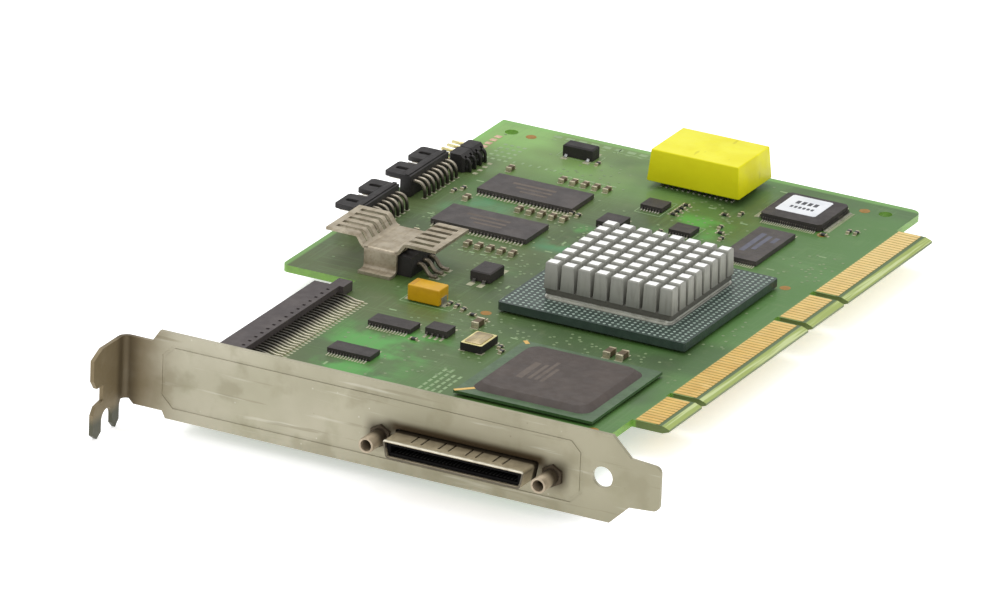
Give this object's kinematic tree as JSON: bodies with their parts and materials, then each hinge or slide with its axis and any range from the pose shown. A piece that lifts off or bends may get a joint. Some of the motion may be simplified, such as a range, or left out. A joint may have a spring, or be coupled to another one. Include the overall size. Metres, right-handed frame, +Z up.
{
  "type": "disk array controller card",
  "caption": "Full-height 64-bit expansion card on a sheet-metal bracket, with a pin-fin heat sink, yellow battery cap, high-density ports and a keyed gold contact edge.",
  "frame": {"origin": "where the plane of the bracket's outer face crosses the line of the board's free long edge, at the component side of the board", "axes": "+X from the free long edge towards the contact edge, +Y along the card away from the bracket, +Z up from the component side"},
  "size_m": [0.1265, 0.1869, 0.0213],
  "materials": {
    "board": "satin solder mask",
    "gold": "plated",
    "bracket": "dull nickel plate",
    "port_shell": "dull plate",
    "black_plastic": "matte",
    "port_insert": "matte",
    "jack_steel": "dull plate",
    "tinned": "tinned",
    "solder": "satin",
    "dark_substrate": "satin",
    "green_substrate": "satin",
    "lid": "satin",
    "heat_sink": "satin anodised",
    "moulding": "matte moulding",
    "label": "matte paper",
    "yellow_cap": "satin",
    "ceramic_body": "matte",
    "can_lid": "bright",
    "tantalum": "gloss",
    "spreader": "dull tin plate",
    "chip_ceramic": "matte"
  },
  "bodies": {
    "root": {"battery_cap": "yellow_cap", "block_body": "black_plastic", "block_terminals": "tinned", "chip_capacitor_bodies": "chip_ceramic", "chip_capacitor_ends": "tinned", "chip_label": "label", "circuit_board": "board", "clock_chip_body": "moulding", "clock_chip_leads": "tinned", "edge_contacts_bottom": "gold", "edge_contacts_top": "gold", "flash_body": "moulding", "flash_leads": "tinned", "header_housings": "black_plastic", "header_pins": "tinned", "heat_sink": "heat_sink", "heat_spreader": "spreader", "inner_connector_body": "black_plastic", "inner_connector_leads": "tinned", "interface_balls": "solder", "interface_cap": "moulding", "interface_substrate": "green_substrate", "jack_posts": "jack_steel", "logic_chip_body": "moulding", "logic_chip_leads": "tinned", "memory_bodies": "moulding", "memory_leads": "tinned", "mounting_bracket": "bracket", "oscillator_body": "ceramic_body", "oscillator_lid": "can_lid", "pin_strip_bodies": "black_plastic", "pin_strip_pins": "gold", "port_housing": "black_plastic", "port_insert": "port_insert", "port_shell": "port_shell", "processor_balls": "solder", "processor_lid": "lid", "processor_substrate": "dark_substrate", "regulator_body": "black_plastic", "regulator_leads": "tinned", "regulator_tab": "tinned", "small_chip_bodies": "moulding", "small_chip_leads": "tinned", "switch_body": "moulding", "switch_leads": "tinned", "tantalum_capacitor": "tantalum", "tantalum_terminals": "tinned", "transceiver_bodies": "moulding", "transceiver_leads": "tinned"}
  },
  "joints": []
}
